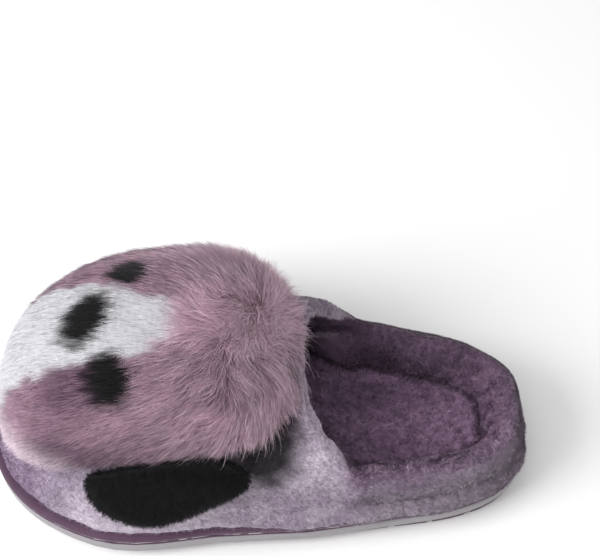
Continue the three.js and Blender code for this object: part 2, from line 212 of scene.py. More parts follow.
def soft_body(name, nodes, voxel, smoothing, grow=0.0, extra=()):
    """One rounded body over one or more CAD nodes and extra volumes, with an even mesh."""
    sources = [(x[0].tolist(), x[2].tolist()) for x in (arrays(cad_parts[n]) for n in nodes)]
    mesh = bpy.data.meshes.new(name)
    places, faces = gathered(sources + list(extra))
    mesh.from_pydata(places, [], faces)
    obj = link(name, mesh)
    weld = obj.modifiers.new("weld", "WELD")
    weld.merge_threshold = WELD
    remesh = obj.modifiers.new("remesh", "REMESH")
    remesh.mode = "VOXEL"
    remesh.voxel_size = voxel
    evaluated(obj)
    largest_island(obj)
    smooth = obj.modifiers.new("smooth", "SMOOTH")
    smooth.factor = 0.5
    smooth.iterations = smoothing
    evaluated(obj)
    if grow:
        p, n, _ = arrays(obj)
        move(obj, p + n * grow)
    obj.data.shade_smooth()
    return obj


def ease(obj, weights, rounds):
    """Smooths part of a body: vertices with a weight move towards the middle of their neighbours."""
    group = obj.vertex_groups.new(name="ease")
    for i in np.flatnonzero(weights > 0.01):
        group.add([int(i)], float(weights[i]), "REPLACE")
    smooth = obj.modifiers.new("smooth", "SMOOTH")
    smooth.factor = 0.5
    smooth.iterations = rounds
    smooth.vertex_group = "ease"
    evaluated(obj)
    obj.vertex_groups.clear()
    obj.data.shade_smooth()


def inflate(obj, held, freedom, pressure, cap, voxel):
    """Swells a padded body: a coarse copy is filled in a cloth simulation and its movement carried over."""
    places, _, triangles = arrays(obj)
    mesh = bpy.data.meshes.new("filling")
    mesh.from_pydata(places.tolist(), [], triangles.tolist())
    pad = link("filling", mesh)
    remesh = pad.modifiers.new("remesh", "REMESH")
    remesh.mode = "VOXEL"
    remesh.voxel_size = voxel
    evaluated(pad)
    before = arrays(pad)[0]
    group = pad.vertex_groups.new(name="held")
    group.add(np.flatnonzero(held(before)).tolist(), 1.0, "REPLACE")
    cloth = pad.modifiers.new("cloth", "CLOTH")
    cloth.settings.vertex_group_mass = "held"
    cloth.settings.use_pressure = True
    cloth.settings.uniform_pressure_force = pressure
    cloth.settings.effector_weights.gravity = 0
    cloth.point_cache.frame_end = SWELL_FRAMES
    for number in range(1, SWELL_FRAMES + 1):
        bpy.context.scene.frame_set(number)
    evaluated(pad)
    bpy.context.scene.frame_set(1)
    swelling = arrays(pad)[0] - before
    bpy.data.objects.remove(pad)
    reach = np.maximum(np.linalg.norm(swelling, axis=1), 1e-9)
    swelling *= (np.minimum(reach, cap) / reach)[:, None]
    tree = KDTree(len(before))
    for i, place in enumerate(before):
        tree.insert(place, i)
    tree.balance()
    carried = np.zeros_like(places)
    for i, place in enumerate(places):
        near = tree.find_n(place, 4)
        share = np.array([1 / (n[2] + voxel / 4) for n in near])
        carried[i] = share @ swelling[[n[1] for n in near]] / share.sum()
    move(obj, places + carried * freedom[:, None])


def crisp_copy(name, node, bevel):
    """Copy of a CAD node with softened edges, for moulded foam."""
    p, _, t = arrays(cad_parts[node])
    mesh = bpy.data.meshes.new(name)
    mesh.from_pydata(p.tolist(), [], t.tolist())
    obj = link(name, mesh)
    weld = obj.modifiers.new("weld", "WELD")
    weld.merge_threshold = WELD
    edge = obj.modifiers.new("bevel", "BEVEL")
    edge.width = bevel
    edge.segments = 2
    edge.limit_method = "ANGLE"
    edge.angle_limit = math.radians(40)
    evaluated(obj)
    obj.data.shade_smooth()
    obj.data.set_sharp_from_angle(angle=math.radians(50))
    return obj


# ---------------------------------------------------------------- materials

class Shader:
    """Small helper around one material's node tree."""

    def __init__(self, name, roughness=0.9, specular=0.25, sheen=0.0, sheen_tint=(1, 1, 1)):
        self.material = bpy.data.materials.new(name)
        self.material.use_nodes = True
        self.tree = self.material.node_tree
        self.surface = self.tree.nodes["Principled BSDF"]
        self.surface.inputs["Roughness"].default_value = roughness
        self.surface.inputs["Specular IOR Level"].default_value = specular
        self.surface.inputs["Sheen Weight"].default_value = sheen
        self.surface.inputs["Sheen Roughness"].default_value = 0.5
        self.surface.inputs["Sheen Tint"].default_value = (*sheen_tint, 1)
        self.place = self.tree.nodes.new("ShaderNodeTexCoord").outputs["Object"]

    def set(self, socket, source):
        if isinstance(source, bpy.types.NodeSocket):
            self.tree.links.new(source, socket)
        else:
            socket.default_value = source

    def noise(self, scale, detail=3.0):
        node = self.tree.nodes.new("ShaderNodeTexNoise")
        self.set(node.inputs["Vector"], self.place)
        node.inputs["Scale"].default_value = scale
        node.inputs["Detail"].default_value = detail
        return node.outputs["Fac"]

    def cells(self, scale):
        node = self.tree.nodes.new("ShaderNodeTexVoronoi")
        self.set(node.inputs["Vector"], self.place)
        node.inputs["Scale"].default_value = scale
        return node.outputs["Distance"]

    def attribute(self, name):
        node = self.tree.nodes.new("ShaderNodeVertexColor")
        node.layer_name = name
        return node.outputs["Color"]

    def scaled(self, source, low, high, from_low=0.3, from_high=0.7):
        node = self.tree.nodes.new("ShaderNodeMapRange")
        self.set(node.inputs["Value"], source)
        node.inputs["From Min"].default_value = from_low
        node.inputs["From Max"].default_value = from_high
        node.inputs["To Min"].default_value = low
        node.inputs["To Max"].default_value = high
        return node.outputs["Result"]

    def mixed(self, factor, a, b):
        node = self.tree.nodes.new("ShaderNodeMix")
        node.data_type = "RGBA"
        sockets = [s for s in node.inputs if s.enabled]
        self.set(sockets[0], factor)
        for socket, value in zip(sockets[1:], (a, b)):
            self.set(socket, value if isinstance(value, bpy.types.NodeSocket) else (*value, 1))
        return next(s for s in node.outputs if s.enabled)

    def times(self, colour, factor):
        """Colour multiplied by a number from a socket."""
        node = self.tree.nodes.new("ShaderNodeVectorMath")
        node.operation = "SCALE"
        self.set(node.inputs[0], colour)
        self.set(node.inputs["Scale"], factor)
        return node.outputs["Vector"]

    def bump(self, height, strength, distance):
        node = self.tree.nodes.new("ShaderNodeBump")
        node.inputs["Strength"].default_value = strength
        node.inputs["Distance"].default_value = distance
        self.set(node.inputs["Height"], height)
        self.set(self.surface.inputs["Normal"], node.outputs["Normal"])

    def colour(self, source):
        self.set(self.surface.inputs["Base Color"], source)

    def rough(self, source):
        self.set(self.surface.inputs["Roughness"], source)


def pile_material(name, sheen, tint):
    """Fibres coloured one by one, with a little unevenness along each."""
    s = Shader(name, roughness=0.75, specular=0.2, sheen=sheen, sheen_tint=tint)
    s.colour(s.times(s.attribute("Pile"), s.scaled(s.noise(420), 0.86, 1.14)))
    s.rough(s.scaled(s.noise(900), 0.65, 0.9))
    return s.material


def cloth_material(name, grain, sheen, tint, depth):
    """Backing cloth seen between the fibres."""
    s = Shader(name, roughness=0.95, specular=0.12, sheen=sheen, sheen_tint=tint)
    s.colour(s.times(s.attribute("Pile"), s.scaled(s.noise(grain, 4), 0.75, 1.2)))
    s.rough(s.scaled(s.noise(grain * 0.7), 0.85, 1.0))
    s.bump(s.noise(grain, 4), 0.7, depth)
    return s.material


def foam_material(name, colour, grain, contrast, roughness):
    """Matt moulded foam: faint blotches, fine pores."""
    s = Shader(name, roughness=roughness, specular=0.3)
    blotches = s.scaled(s.noise(38, 4), 1 - contrast, 1 + contrast)
    s.colour(s.times(s.mixed(s.scaled(s.noise(grain), 0, 0.25), colour, colour * 0.6), blotches))
    s.rough(s.scaled(s.noise(120), roughness - 0.1, roughness + 0.1))
    s.bump(s.noise(grain, 3), 0.35, 0.15 * MM)
    return s.material


def weave_material(name, colour):
    """Plain padding or board inside the slipper."""
    s = Shader(name, roughness=0.9, specular=0.15)
    s.colour(s.times(s.mixed(s.cells(900), colour, colour * 0.7), s.scaled(s.noise(60), 0.85, 1.1)))
    s.rough(s.scaled(s.noise(300), 0.8, 0.98))
    s.bump(s.cells(900), 0.3, 0.1 * MM)
    return s.material


# ---------------------------------------------------------------- fibres

def scatter(obj, count, seed, weight=None):
    """Random roots on a surface, spread by area times weight: places, normals, a reader of vertex values."""
    rng = np.random.default_rng(seed)
    places, normals, triangles = arrays(obj)
    a, b, c = (places[triangles[:, i]] for i in range(3))
    area = np.linalg.norm(np.cross(b - a, c - a), axis=1)
    if weight is not None:
        area = area * weight[triangles].mean(axis=1)
    chosen = rng.choice(len(triangles), count, p=area / area.sum())
    u, v = rng.random((2, count))
    flip = u + v > 1
    u[flip], v[flip] = 1 - u[flip], 1 - v[flip]
    mix = np.stack([1 - u - v, u, v], axis=1)
    corners = triangles[chosen]

    def read(values):
        return np.einsum("ij,ij...->i...", mix, values[corners])

    return read(places), unit(read(normals)), read


def strands(roots, normals, comb, length, lift, curl, segments, seed, droop=0.0):
    """Centre lines that leave the skin at the first lift angle and lie over to the second."""
    rng = np.random.default_rng(seed)
    count = len(roots)
    comb = unit(tangent(comb, normals))
    side = np.cross(normals, comb)
    phase = rng.uniform(0, 2 * math.pi, count)
    turns = rng.uniform(0.5, 1.3, count)
    points = np.empty((count, segments + 1, 3))
    points[:, 0] = roots
    for k in range(segments):
        t = (k + 0.5) / segments
        angle = lift[0] * (1 - t) + lift[1] * t
        sway = curl * np.sin(phase + 2 * math.pi * turns * t)
        step = comb * np.cos(angle)[:, None] + normals * np.sin(angle)[:, None]
        step = step + side * sway[:, None] - UP * droop * t
        points[:, k + 1] = points[:, k] + unit(step) * (length / segments)[:, None]
    return points


def clump(points, share, strength, seed, power=1.2):
    """Draws the tips towards those of a few leading strands."""
    rng = np.random.default_rng(seed)
    count = len(points)
    leaders = rng.choice(count, max(2, int(count * share)), replace=False)
    tree = KDTree(len(leaders))
    for i, leader in enumerate(leaders):
        tree.insert(points[leader, 0], i)
    tree.balance()
    own = leaders[[tree.find(p)[1] for p in points[:, 0]]]
    t = np.linspace(0, 1, points.shape[1]) ** power
    pull = (strength * rng.uniform(0.4, 1, count))[:, None, None] * t[None, :, None]
    return points + (points[own] - points) * pull, own


def keep_out(points, obstacle, near, clearance, seed):
    """Lays strands whose roots are near an obstacle on top of it instead of into it."""
    rng = np.random.default_rng(seed)
    for i in range(len(points)):
        found = obstacle.find_nearest(points[i, 0], near)
        if found[0] is None:
            continue
        gap = clearance * rng.uniform(0.5, 2.2)
        for k in range(1, points.shape[1]):
            spot, way, _, _ = obstacle.find_nearest(points[i, k], near)
            if spot is None:
                continue
            inside = gap * k / (points.shape[1] - 1) - (Vector(points[i, k]) - spot).dot(way)
            if inside > 0:
                points[i, k:] += np.array(way) * inside
    return points


def ribbons(name, points, normals, width, roots_colour, tips_colour, seed, roll=0.7):
    """Mesh of thin tapering ribbons along strands, coloured from root to tip."""
    rng = np.random.default_rng(seed)
    count, rows = points.shape[:2]
    t = np.linspace(0, 1, rows)
    along = unit(np.gradient(points, axis=1))
    face = normals[:, None, :] + rng.normal(scale=roll, size=(count, 1, 3))
    side = unit(np.cross(along, face))
    side *= np.sign(dot(np.cross(side, along), normals[:, None, :]))[:, :, None]
    half = width[:, None] * (1 - 0.85 * t ** 1.6)[None, :] / 2
    left = points - side * half[:, :, None]
    right = points + side * half[:, :, None]
    places = np.stack([left, right], axis=2).reshape(-1, 3)

    start = (np.arange(count) * rows * 2)[:, None] + (np.arange(rows - 1) * 2)[None, :]
    quads = np.stack([start, start + 1, start + 3, start + 2], axis=-1).reshape(-1, 4)
    mesh = bpy.data.meshes.new(name)
    mesh.vertices.add(len(places))
    mesh.vertices.foreach_set("co", places.astype(np.float32).ravel())
    mesh.loops.add(quads.size)
    mesh.loops.foreach_set("vertex_index", quads.astype(np.int32).ravel())
    mesh.polygons.add(len(quads))
    mesh.polygons.foreach_set("loop_start", np.arange(len(quads), dtype=np.int32) * 4)
    mesh.update(calc_edges=True)

    # One small cell of the map for each ribbon.
    grid = math.ceil(math.sqrt(count))
    cell = np.stack([np.arange(count) % grid, np.arange(count) // grid], axis=1)
    u = np.array([0.2, 0.8])[None, None, :, None]
    v = (0.1 + 0.8 * t)[None, :, None, None]
    inside = np.concatenate(np.broadcast_arrays(u, v), axis=-1)
    flat = ((cell[:, None, None, :] + inside) / grid).reshape(-1, 2)
    layer = mesh.uv_layers.new(name="OFBake")
    layer.data.foreach_set("uv", flat[quads.ravel()].astype(np.float32).ravel())

    obj = link(name, mesh)
    blend = t[None, :, None]
    colours = roots_colour[:, None, :] * (1 - blend) + tips_colour[:, None, :] * blend
    paint(obj, "Pile", np.repeat(colours.reshape(-1, 3), 2, axis=0))
    mesh.shade_smooth()
    bent = unit(np.cross(side, along) * 0.5 + normals[:, None, :])
    mesh.normals_split_custom_set_from_vertices(np.repeat(bent.reshape(-1, 3), 2, axis=0).tolist())
    return obj


def dress(obj, material, body="slipper", replaces=()):
    obj.data.materials.clear()
    obj.data.materials.append(material)
    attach(obj, body)
    if replaces:
        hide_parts(*replaces)
    return obj


# ---------------------------------------------------------------- colours

PINK = linear(198, 158, 178)
PINK_DEEP = linear(142, 106, 128)
PINK_TIP = linear(222, 204, 215)
WHITE = linear(216, 217, 221)
BLACK = linear(7, 7, 10)
VELOUR = linear(210, 199, 212)
VELOUR_DARK = linear(150, 134, 153)
PLUSH = linear(136, 110, 136)
PLUSH_DARK = linear(76, 56, 78)
# Painted shade: the plush as it looks in the dark under the vamp.
LINING_SHADE = linear(50, 36, 50)
WHITE_FOAM = linear(162, 158, 162)
DARK_FOAM = linear(86, 60, 82)
THREAD = linear(236, 230, 236)
THREAD_DARK = linear(190, 180, 190)
PADDING = linear(216, 210, 192)
BOARD = linear(168, 152, 128)
PAPER = linear(250, 250, 250)

furry = pile_material("long_pile", sheen=0.35, tint=(1.0, 0.95, 1.0))
inky = pile_material("black_pile", sheen=0.05, tint=(0.7, 0.7, 0.8))
plushy = pile_material("plush_pile", sheen=0.25, tint=(0.85, 0.66, 0.85))
velvety = pile_material("velour_nap", sheen=0.25, tint=(1.0, 0.9, 1.0))
fur_backing = cloth_material("fur_backing", grain=700, sheen=0.1, tint=(1, 1, 1), depth=0.4 * MM)
plush_backing = cloth_material("plush_backing", grain=520, sheen=0.2, tint=(0.85, 0.66, 0.85), depth=0.6 * MM)
velour_cloth = cloth_material("velour_cloth", grain=1300, sheen=0.25, tint=(0.95, 0.85, 0.95), depth=0.25 * MM)

# ---------------------------------------------------------------- head

head_low, head_high = box("head_fur_panel")
head_size = head_high - head_low


def on_head(x, y, z=1.0):
    """Point of the head's box from shares of its width, length and height."""
    return head_low + head_size * np.array([x, y, z])


CROWN = on_head(0.48, 0.93, 0.92)

head = soft_body("head_backing", ["head_fur_panel"], voxel=1.8 * MM, smoothing=12)


def patch(points, centre, along, across, turn, ragged, seed):
    """1 inside an elongated spot on the head's top, seen from above, and 0 outside, with a ragged edge."""
    c, s = math.cos(turn), math.sin(turn)
    d = points[:, :2] - centre[:2]
    u = (d[:, 0] * c + d[:, 1] * s) / across
    v = (-d[:, 0] * s + d[:, 1] * c) / along
    reach = np.sqrt(u * u + v * v) + ragged * waves(points * [1.0, 0.3, 1.0], 3 * MM, seed)
    return 1 - ramp(reach, 0.75, 1.2)


def head_colour(points):
    """Colour of the head's pile by where it grows: a white blaze, black nose and eyes, pink for the rest, with
    painted shade low on the sides.
    """
    y = share_of(points, head_low, head_high, 1)
    z = share_of(points, head_low, head_high, 2)
    far = np.interp(y, [0.0, 0.35, 0.50, 0.66], [-30, -25, -18, -9]) * MM
    near = np.interp(y, [0.0, 0.20, 0.40, 0.54, 0.66], [20, 18, 16, 14, 5]) * MM
    edge = np.maximum(far - points[:, 0], points[:, 0] - near) + 1.4 * MM * waves(points, 9 * MM, 5)
    white = (1 - ramp(edge, -2.5 * MM, 2.5 * MM)) * (1 - ramp(y, 0.62, 0.69))
    cloudy = 0.8 + 0.2 * ramp(waves(points, 20 * MM, 6), -1, 1)
    muzzle = (1 - ramp(z, 0.2, 0.5)) * (1 - ramp(y, 0.22, 0.42)) * cloudy
    deep_tone_and_shade = 0.7 * ramp(waves(points * [1.0, 0.5, 1.0], 26 * MM, 7), -0.6, 0.9)
    deep_tone_and_shade += 0.6 * (1 - ramp(y, 0.3, 0.6))
    # Painted shade: deeper colour low on the sides behind the muzzle.
    deep_tone_and_shade += 0.4 * (1 - ramp(z, 0.3, 0.7)) * ramp(y, 0.2, 0.5)
    deep_tone_and_shade = np.minimum(deep_tone_and_shade, 1.3)
    colour = PINK * (1 - deep_tone_and_shade[:, None]) + PINK_DEEP * deep_tone_and_shade[:, None]
    colour = colour * (1 - muzzle[:, None]) + PINK_TIP * muzzle[:, None]
    colour = colour * (1 - white[:, None]) + WHITE * white[:, None]
    nose = patch(points, on_head(0.52, 0.382), 10.5 * MM, 14.8 * MM, turn=-0.5, ragged=0.13, seed=11)
    near_eye = patch(points, on_head(0.77, 0.465), 10.8 * MM, 10 * MM, turn=0.5, ragged=0.16, seed=12)
    far_eye = patch(points, on_head(0.30, 0.50), 9 * MM, 8 * MM, turn=0.2, ragged=0.2, seed=13)
    black = np.maximum(np.maximum(nose, near_eye), far_eye)
    return colour * (1 - black[:, None]) + BLACK * black[:, None]


def head_comb(points, normals):
    """The pile parts at the crown: towards the toe in front of it, outwards behind and beside it."""
    away = unit(points - CROWN)
    forward = ramp(-(points[:, 1] - CROWN[1]), 8 * MM, 50 * MM)[:, None]
    flow = away * (1 - 0.7 * forward) + TOEWARD * 0.7 * forward
    for size, share in ((32 * MM, 0.4), (11 * MM, 0.4)):
        swirl = np.stack([waves(points, size, seed) for seed in (21, 22, 23)], axis=1)
        flow = flow + swirl * share * (1.3 - 1.15 * forward)
    low = 1 - ramp(share_of(points, head_low, head_high, 2), 0.1, 0.5)
    flow = flow - UP * (0.8 * low)[:, None]
    return tangent(flow, normals)


places, normals, _ = arrays(head)
backing = head_colour(places)
# Painted shade: the backing under the pile is darker, least under white pile.
paint(head, "Pile", backing * (0.6 + 0.35 * ramp(brightness(backing)[:, None], 0.4, 0.7)))
outside = ramp(dot(normals, unit(places - on_head(0.5, 0.55, 0.1))), -0.1, 0.3)

# ---------------------------------------------------------------- padded bodies that the pile falls on

def lead_in(side):
    """The collar's roll runs on under the vamp and thins out there: a tapering quarter round."""
    wall = tree_of(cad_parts["vamp_lining"])
    floor = box("footbed_cover")[1][2] - 2 * MM
    back = box("heel_band_foam")[0][1] + 3 * MM
    rings, arc = LEAD_IN["rings"], LEAD_IN["arc"]
    places = []
    for i in range(rings):
        t = i / (rings - 1)
        y = back - LEAD_IN["length"] * t
        hit = wall.ray_cast(Vector((0, min(y, back - 5 * MM), floor + 6 * MM)), Vector((side, 0, 0)))[0]
        width = LEAD_IN["width"] * (1 - t ** 2) + 1 * MM
        height = LEAD_IN["height"] * (1 - t ** 1.5) + 2 * MM
        places.append((hit.x + side * 3 * MM, y, floor))
        places.append((hit.x + side * 3 * MM, y, floor + height))
        for k in range(arc):
            turn = math.pi / 2 * (1 - k / (arc - 1))
            x = hit.x + side * (2 * MM - width * math.cos(turn))
            places.append((x, y, floor + height * math.sin(turn)))
    size = arc + 2
    faces = [[i * size + k, i * size + (k + 1) % size, (i + 1) * size + (k + 1) % size, (i + 1) * size + k]
             for i in range(rings - 1) for k in range(size)]
    faces += [list(range(size))[::-1], [(rings - 1) * size + k for k in range(size)]]
    return places, [f[::-1] for f in faces] if side < 0 else faces


CLOTH_NODES = ["vamp_outer", "vamp_foam", "vamp_lining", "vamp_edge_binding",
               "heel_band_outer", "heel_band_foam", "heel_band_lining"]
TAPE_NODES = ["side_seam_tape_lateral", "side_seam_tape_medial"]
upper = soft_body("upper_padded", CLOTH_NODES, voxel=1.2 * MM, smoothing=10, extra=[lead_in(1), lead_in(-1)])
_, seam_y, wall_foot = box("heel_band_outer")[0]
places = arrays(upper)[0]
near_seam = 1 - ramp(np.abs(places[:, 1] - seam_y), 3 * MM, 14 * MM)
ease(upper, near_seam * ramp(places[:, 2], wall_foot + 3 * MM, wall_foot + 14 * MM), rounds=60)
ears = {
    side: soft_body(f"ear_{side}_plush", [f"ear_{side}_pile", f"ear_{side}_backing"],
                    voxel=0.9 * MM, smoothing=6, grow=0.3 * MM)
    for side in ("lateral", "medial")
}

# Filling: the upper swells above the rim, each ear below its sewn edge and mostly on its outer face.
rim_top = box("sole_rim")[1][2]
held_below = rim_top + 4 * MM
places = arrays(upper)[0]
inflate(upper, lambda p: p[:, 2] < held_below, ramp(places[:, 2], held_below, held_below + 10 * MM),
        pressure=5.0, cap=1.6 * MM, voxel=3 * MM)
for side, obj in ears.items():
    held_above = box(f"ear_{side}_pile")[1][2] - 5 * MM
    outward_x = 1 if side == "lateral" else -1
    outer_face = ramp(arrays(obj)[1][:, 0] * outward_x, -0.4, 0.4)
    inflate(obj, lambda p: p[:, 2] > held_above, 0.25 + 0.75 * outer_face,
            pressure=14.0, cap=2 * MM, voxel=1.4 * MM)

under_fringe = tree_of(upper, *ears.values())

# ---------------------------------------------------------------- the head's pile

roots, normals, _ = scatter(head, FUR_COUNT, seed=31, weight=outside)
rng = np.random.default_rng(32)
from_toe = share_of(roots, head_low, head_high, 1)
height = share_of(roots, head_low, head_high, 2)
rear = ramp(from_toe, 0.5, 0.95)
loose = rng.uniform(0, 1, FUR_COUNT) ** 2

# Length: longer behind, short at the toe's border, trimmed beside the opening but for stray wisps.
at_border = (1 - rear) * (1 - ramp(height, 0.05, 0.4))
growth = 1 + at_border * (0.45 * ramp(from_toe, 0.08, 0.2) - 0.5 * (1 - ramp(from_toe, 0.02, 0.1)))
wisp = rng.random(FUR_COUNT) < 0.12 * rear
trim = 0.45 * ramp(from_toe, 0.55, 0.8) * (1 - ramp(height, 0.25, 0.85))
growth *= 1 - trim * (1 - 0.8 * wisp * ramp(from_toe, 0.72, 0.88))
length = (FUR_LENGTH + FUR_LENGTH_GAIN * rear) * growth * (1 + 0.32 * wisp)
length = length * rng.uniform(0.6, 1.2, FUR_COUNT) * MM

# Shape: combed, then gathered in small tufts and in large ones.
lift = (0.55 + 0.35 * rear + 0.3 * loose, 0.05 + 0.12 * rear + 0.25 * loose)
comb = head_comb(roots, normals) + rng.normal(scale=0.12, size=roots.shape) * (1 + 1.5 * rear[:, None])
fur = strands(roots, normals, comb, length, lift, curl=0.12 + 0.25 * rear, segments=FUR_SEGMENTS, seed=33,
              droop=0.3)
fur, _ = clump(fur, share=0.2, strength=0.15 + 0.35 * rear, seed=34)
fur, tuft_of = clump(fur, share=0.025, strength=0.08 + 0.4 * rear, seed=35, power=1.6)
fur = keep_out(fur, under_fringe, near=24 * MM, clearance=1.2 * MM, seed=36)

# Colour: each tuft and hair its own shade, with pale tips at the crown, on wisps and low on the muzzle, and
# painted shade at the roots and low on the sides.
base = head_colour(roots) * (1 + 0.15 * rear[:, None])
light = brightness(base)[:, None]
tuft_shade = rng.uniform(0.8, 1.2, FUR_COUNT)[tuft_of][:, None]
shade = rng.uniform(0.7, 1.25, (FUR_COUNT, 1)) * tuft_shade
shade = shade + (1 - shade) * 0.95 * ramp(light, 0.4, 0.8)
# Painted shade low on the sides behind the muzzle.
shade *= 1 - 0.2 * ((1 - ramp(height, 0.35, 0.85)) * ramp(from_toe, 0.25, 0.5))[:, None]
at_crown = 1 - ramp(np.linalg.norm(roots - CROWN, axis=1), 8 * MM, 38 * MM)
pale = rng.uniform(0, 0.6, (FUR_COUNT, 1)) ** 1.5
pale = pale + (0.2 * rear + 0.5 * at_crown)[:, None] * rng.random((FUR_COUNT, 1))
pale *= (0.55 + 0.45 * ramp(from_toe, 0.3, 0.6))[:, None]
low_front = (1 - ramp(height, 0.2, 0.55)) * (1 - ramp(from_toe, 0.28, 0.42))
pale = np.maximum(pale, 0.9 * low_front[:, None])
pale[wisp] = 0.95
# Painted shade at the roots, less towards the rear and under pale pile.
at_root = base * shade * np.minimum(1, 0.55 + 0.3 * rear[:, None] + 0.45 * ramp(light, 0.3, 0.7))
at_tip = np.where(light < 0.1, base, base * (1 - pale) + PINK_TIP * pale) * shade
thick = rng.uniform(0.14, 0.26, FUR_COUNT) * MM
band_of = (from_toe > MUZZLE_END).astype(int) + (from_toe > BROW_END)
lateral = (roots[:, 0] > on_head(0.5, 0)[0]).astype(int)
for i, region in enumerate(("muzzle", "brow", "crown")):
    for k, side in enumerate(("medial", "lateral")):
        pick = (band_of == i) & (lateral == k)
        pile = ribbons(f"head_fur_{region}_{side}", fur[pick], normals[pick], thick[pick],
                       at_root[pick], at_tip[pick], seed=40 + 2 * i + k)
        dress(pile, furry)
dress(head, fur_backing, replaces=["head_fur_panel", "ear_lateral_root", "ear_medial_root"])

# ---------------------------------------------------------------- vamp, heel band and footbed

sole_low, sole_high = box("midsole_band")


def outward(points):
    """Level direction away from the slipper's spine."""
    spine = np.clip(points[:, 1], sole_low[1] + 60 * MM, sole_high[1] - 55 * MM)
    return unit(np.stack([points[:, 0], points[:, 1] - spine, np.zeros(len(points))], axis=1))


def hang_over_rim(obj):
    """The cloth bulges out over the rim, most of all from the waist to the heel."""
    places, normals, _ = arrays(obj)
    facing = ramp(dot(normals, outward(places)), 0.1, 0.6)
    low = 1 - ramp(places[:, 2], rim_top + 1 * MM, rim_top + 11 * MM)
    where = RIM_REACH + (1 - RIM_REACH) * ramp(places[:, 1], -35 * MM, 45 * MM)
    share = (facing * low * where)[:, None]
    drop = np.maximum(0, where - RIM_REACH)[:, None] * RIM_DROP
    move(obj, places + outward(places) * share * RIM_BULGE - UP * share * drop)


def soften(obj, amount, seed):
    """Slack and dents of padded cloth."""
    places, normals, _ = arrays(obj)
    dents = waves(places, 30 * MM, seed) * 0.6 + waves(places, 13 * MM, seed + 1) * 0.4
    move(obj, places + normals * (dents * amount)[:, None])


def velour_colour(points):
    """Brushed cloth: broad lighter and darker sweeps, with painted shade behind the outer ear, towards the
    heel, on the far side and at the toe.
    """
    brushed = ramp(waves(points * [1.0, 0.6, 1.0], 34 * MM, 61), -0.9, 0.9) * 0.55
    brushed += ramp(waves(points, 9 * MM, 62), -0.9, 0.9) * 0.3 + ramp(waves(points, 3 * MM, 63), -1, 1) * 0.15
    cloth = VELOUR_DARK * (1 - brushed[:, None]) + VELOUR * brushed[:, None]
    # Painted shade: behind the outer ear, darker towards the heel, and on the far side of the vamp.
    shade = (1 - 0.93 * painted_ear_shadow(points)) * (1 - 0.28 * ramp(points[:, 1], 10 * MM, 110 * MM))
    shade *= 1 - 0.38 * ramp(-points[:, 0], 5 * MM, 45 * MM) * ramp(points[:, 1], -40 * MM, 10 * MM)
    # Painted shade at the toe, under the head: darker and more purple.
    toe_shade = ramp(-points[:, 1], 72 * MM, 122 * MM)[:, None]
    return cloth * shade[:, None] * (1 - toe_shade * [0.44, 0.53, 0.42])


def painted_ear_shadow(points):
    """Painted shadow and dark fluff that the outer ear leaves on the cloth behind it, from 0 to 1."""
    low, high = box("ear_lateral_pile")
    spot = np.array([low[0] - 14 * MM, high[1] + 7 * MM, (low[2] + high[2]) / 2 + 5 * MM])
    reach = np.linalg.norm((points - spot) * [0.7, 1.0, 0.7], axis=1) + 1.5 * MM * waves(points, 12 * MM, 64)
    return 1 - ramp(reach, 9 * MM, 22 * MM)


def plush_colour(points):
    curls = 0.3 * ramp(waves(points, 26 * MM, 72), -1, 1) + 0.2 * ramp(waves(points, 5 * MM, 73), -1, 1) + 0.25
    curls += 0.25 * ramp(points[:, 1], 50 * MM, 95 * MM)
    return PLUSH_DARK * (1 - curls[:, None]) + PLUSH * curls[:, None]


def speckle(obj, amount, seed):
    """Brightness that varies from vertex to vertex: the tufts of a short pile."""
    count = len(obj.data.vertices)
    return 1 + amount * np.clip(np.random.default_rng(seed).normal(size=(count, 1)), -2, 2)


def lining_with_painted_shade(points):
    """The plush inside, with painted shade that grows darker and darker under the vamp."""
    lit = ramp(points[:, 1], seam_y - 60 * MM, seam_y + 15 * MM)[:, None]
    return plush_colour(points) * lit + LINING_SHADE * (1 - lit)


soften(upper, amount=0.55 * MM, seed=51)
hang_over_rim(upper)

places, normals, _ = arrays(upper)
floor_z = box("vamp_lining")[0][2]
radial = unit(np.stack([places[:, 0] + 4 * MM, np.zeros(len(places)), places[:, 2] - floor_z], axis=1))
in_heel = ramp(places[:, 1], seam_y - 10 * MM, seam_y + 4 * MM)
facing_out = dot(normals, radial) * (1 - in_heel) + (dot(normals, outward(places)) - 0.45) * in_heel
upper_outside = ramp(facing_out, -0.2, 0.15)
edge = tree_of(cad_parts["vamp_edge_binding"])
fold = np.array([edge.find_nearest(p, 3 * MM)[3] is not None for p in places])[:, None] * 0.3 + 1
near_crest = (in_heel * ramp(normals[:, 2], 0.0, 0.8))[:, None]
velour_tone = speckle(upper, 0.13, 65) * (1 - near_crest * [0.22, 0.30, 0.22])
paint(upper, "Pile", velour_colour(places) * fold * velour_tone * upper_outside[:, None]
      + lining_with_painted_shade(places) * (1 - upper_outside[:, None]))
dress(upper, velour_cloth, replaces=CLOTH_NODES + TAPE_NODES)

footbed = soft_body("footbed_plush", ["footbed_cover"], voxel=1.4 * MM, smoothing=8)
places, normals, _ = arrays(footbed)
around = tree_of(upper)
gap = np.array([around.find_nearest(p, 12 * MM)[3] or 12 * MM for p in places])
top = ramp(normals[:, 2], 0.2, 0.6)
groove = (1 - ramp(gap, 0.5 * MM, 6 * MM)) * top
uneven = waves(places, 6 * MM, 71) * 0.3 * MM
move(footbed, places - UP * (groove * 3.5 * MM)[:, None] + normals * uneven[:, None])
# Painted shade darkens the groove around the footbed.
paint(footbed, "Pile", plush_colour(places) * (1 - 0.6 * groove)[:, None])
dress(footbed, plush_backing, replaces=["footbed_cover"])
footbed_top = top * (1 - 0.7 * groove)


